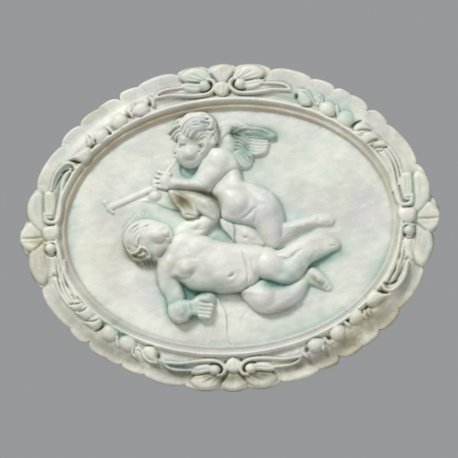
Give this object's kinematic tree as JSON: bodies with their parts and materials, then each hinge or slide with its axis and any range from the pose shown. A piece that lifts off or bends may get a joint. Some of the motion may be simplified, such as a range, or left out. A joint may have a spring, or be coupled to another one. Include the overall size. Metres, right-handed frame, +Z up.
{
  "type": "cherub wall plaque",
  "caption": "Oval relief plaque for hanging on a wall, cherubs among scrolls, scalloped frame of shells and beads, worn cream and green finish.",
  "frame": {"origin": "middle of the flat back, where the plaque bears on the wall", "axes": "+X along the plaque's length, +Y from the front into the wall, +Z up as the plaque hangs"},
  "size_m": [0.4208, 0.0268, 0.3288],
  "materials": {
    "plaster": "satin painted plaster, cream worn to pale green in the hollows"
  },
  "bodies": {
    "root": {"plaque": "plaster"}
  },
  "joints": []
}
